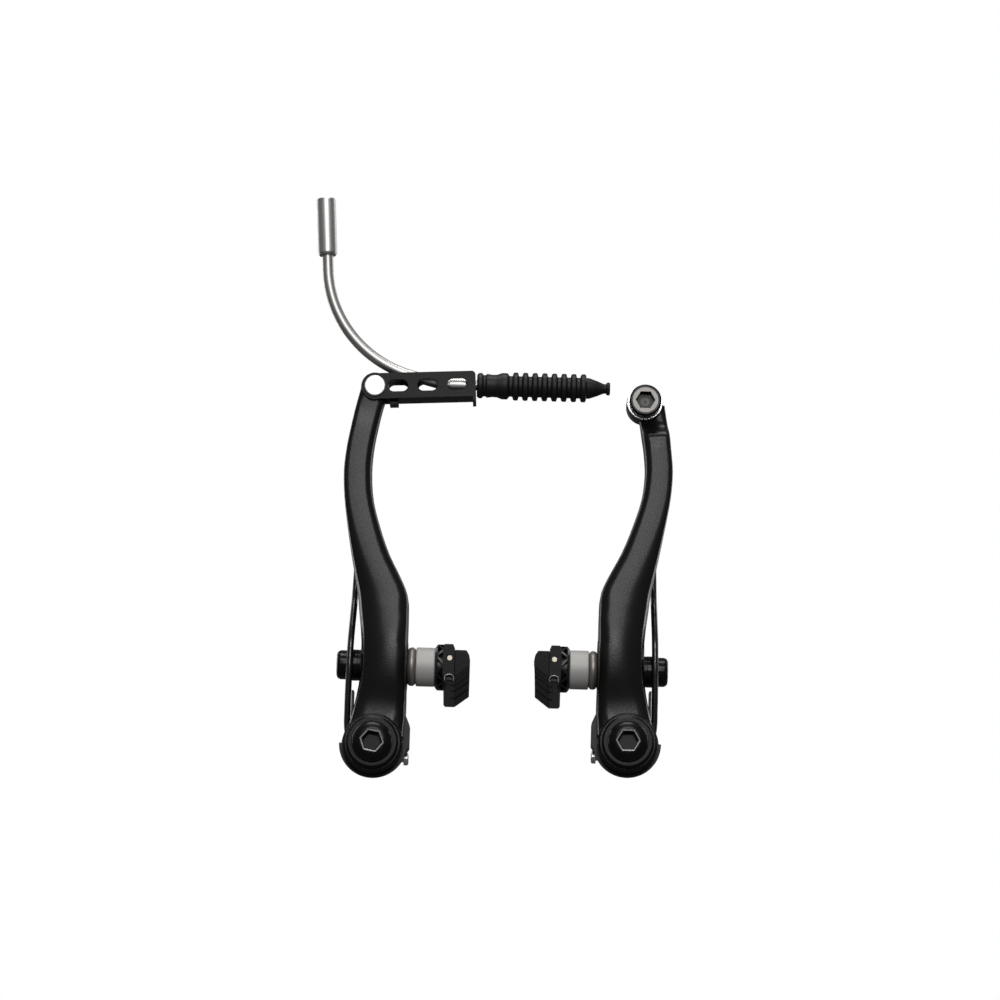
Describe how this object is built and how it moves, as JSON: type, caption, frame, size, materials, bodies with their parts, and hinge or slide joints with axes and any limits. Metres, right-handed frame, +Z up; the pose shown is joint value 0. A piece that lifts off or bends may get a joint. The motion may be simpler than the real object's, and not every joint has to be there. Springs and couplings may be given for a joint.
{
  "type": "bicycle rim brake",
  "caption": "linear-pull rim brake set: curved lever arms on pivot sleeves, curved shoes, a slotted cable link with bent lead pipe and ribbed rubber boot, and a cable clamp bolt",
  "frame": {"origin": "midway between the two pivot axes, in the plane of the brake cable", "axes": "+X to the viewer's right from the link arm to the clamp arm, -Y toward the viewer (the bolt heads' side), +Z up along the arms, away from the wheel's hub"},
  "size_m": [0.1067, 0.0713, 0.1758],
  "materials": {
    "left_mount_bolt": "black oxide steel, satin",
    "left_pivot_sleeve": "black steel, satin",
    "left_spring_plate": "black steel, satin",
    "left_arm": "satin black anodised",
    "left_spring_seat": "black moulded",
    "left_return_spring": "black spring steel wire",
    "left_tension_screw": "plated",
    "left_shoe_nut": "black, semi-gloss",
    "left_outer_washer": "black steel",
    "left_dished_washer": "dark bronze-grey steel",
    "left_spacer": "pale satin",
    "left_shoe_post": "plated steel",
    "left_shoe_holder": "satin black",
    "left_pad": "matte black compound",
    "left_pad_pin": "plated",
    "right_mount_bolt": "black oxide steel, satin",
    "right_pivot_sleeve": "black steel, satin",
    "right_spring_plate": "black steel, satin",
    "right_arm": "satin black anodised",
    "right_spring_seat": "black moulded",
    "right_return_spring": "black spring steel wire",
    "right_tension_screw": "plated",
    "right_shoe_nut": "black, semi-gloss",
    "right_outer_washer": "black steel",
    "right_dished_washer": "dark bronze-grey steel",
    "right_spacer": "pale satin",
    "right_shoe_post": "plated steel",
    "right_shoe_holder": "satin black",
    "right_pad": "matte black compound",
    "right_pad_pin": "plated",
    "link_pin": "polished head",
    "link_channel": "satin black",
    "lead_pipe": "polished",
    "pipe_socket": "satin",
    "pipe_head": "satin",
    "cable_boot": "black moulded rubber",
    "cable_bolt": "black oxide steel",
    "cable_washer": "bright plated"
  },
  "bodies": {
    "pivots": {"left_mount_bolt": "left_mount_bolt", "left_pivot_sleeve": "left_pivot_sleeve", "left_spring_plate": "left_spring_plate", "right_mount_bolt": "right_mount_bolt", "right_pivot_sleeve": "right_pivot_sleeve", "right_spring_plate": "right_spring_plate"},
    "left_side": {"left_arm": "left_arm", "left_spring_seat": "left_spring_seat", "left_return_spring": "left_return_spring", "left_outer_washer": "left_outer_washer", "link_pin": "link_pin"},
    "right_side": {"right_arm": "right_arm", "right_spring_seat": "right_spring_seat", "right_return_spring": "right_return_spring", "right_outer_washer": "right_outer_washer", "cable_washer": "cable_washer"},
    "left_shoe": {"left_shoe_post": "left_shoe_post", "left_dished_washer": "left_dished_washer", "left_spacer": "left_spacer", "left_shoe_holder": "left_shoe_holder", "left_pad": "left_pad", "left_pad_pin": "left_pad_pin", "left_shoe_nut": "left_shoe_nut"},
    "right_shoe": {"right_shoe_post": "right_shoe_post", "right_dished_washer": "right_dished_washer", "right_spacer": "right_spacer", "right_shoe_holder": "right_shoe_holder", "right_pad": "right_pad", "right_pad_pin": "right_pad_pin", "right_shoe_nut": "right_shoe_nut"},
    "left_adjuster": {"left_tension_screw": "left_tension_screw"},
    "right_adjuster": {"right_tension_screw": "right_tension_screw"},
    "link": {"link_channel": "link_channel", "lead_pipe": "lead_pipe", "pipe_socket": "pipe_socket", "pipe_head": "pipe_head", "cable_boot": "cable_boot"},
    "clamp_bolt": {"cable_bolt": "cable_bolt"}
  },
  "joints": [
    {"name": "left_arm_pivot", "type": "hinge", "parent": "pivots", "child": "left_side", "pos_m": [-0.037, 0, 0], "axis": [0, 1, 0], "range_deg": [-25, 1.2], "stiffness_Nm_per_rad": 0.4},
    {"name": "right_arm_pivot", "type": "hinge", "parent": "pivots", "child": "right_side", "pos_m": [0.037, 0, 0], "axis": [0, -1, 0], "range_deg": [-25, 1.2], "stiffness_Nm_per_rad": 0.4},
    {"name": "link_pivot", "type": "hinge", "parent": "left_side", "child": "link", "pos_m": [-0.03722, 0, 0.10705], "axis": [0, -1, 0], "range_deg": [-10, 95]},
    {"name": "left_shoe_turn", "type": "hinge", "parent": "left_side", "child": "left_shoe", "pos_m": [-0.02232, 0.003, 0.02359], "axis": [0.9996, 0, -0.0288], "range_deg": [-12, 12]},
    {"name": "right_shoe_turn", "type": "hinge", "parent": "right_side", "child": "right_shoe", "pos_m": [0.02365, 0.003, 0.02269], "axis": [-0.9996, 0, 0.0288], "range_deg": [-12, 12]},
    {"name": "left_tension_screw_turn", "type": "hinge", "parent": "left_side", "child": "left_adjuster", "pos_m": [-0.02711, 0.0008, -0.00389], "axis": [0.9996, 0, -0.0288], "continuous": true},
    {"name": "right_tension_screw_turn", "type": "hinge", "parent": "right_side", "child": "right_adjuster", "pos_m": [0.0269, 0.0008, -0.00331], "axis": [-0.9996, 0, 0.0288], "continuous": true},
    {"name": "clamp_bolt_turn", "type": "hinge", "parent": "right_side", "child": "clamp_bolt", "pos_m": [0.04325, 0, 0.10246], "axis": [0, -1, 0], "continuous": true}
  ]
}
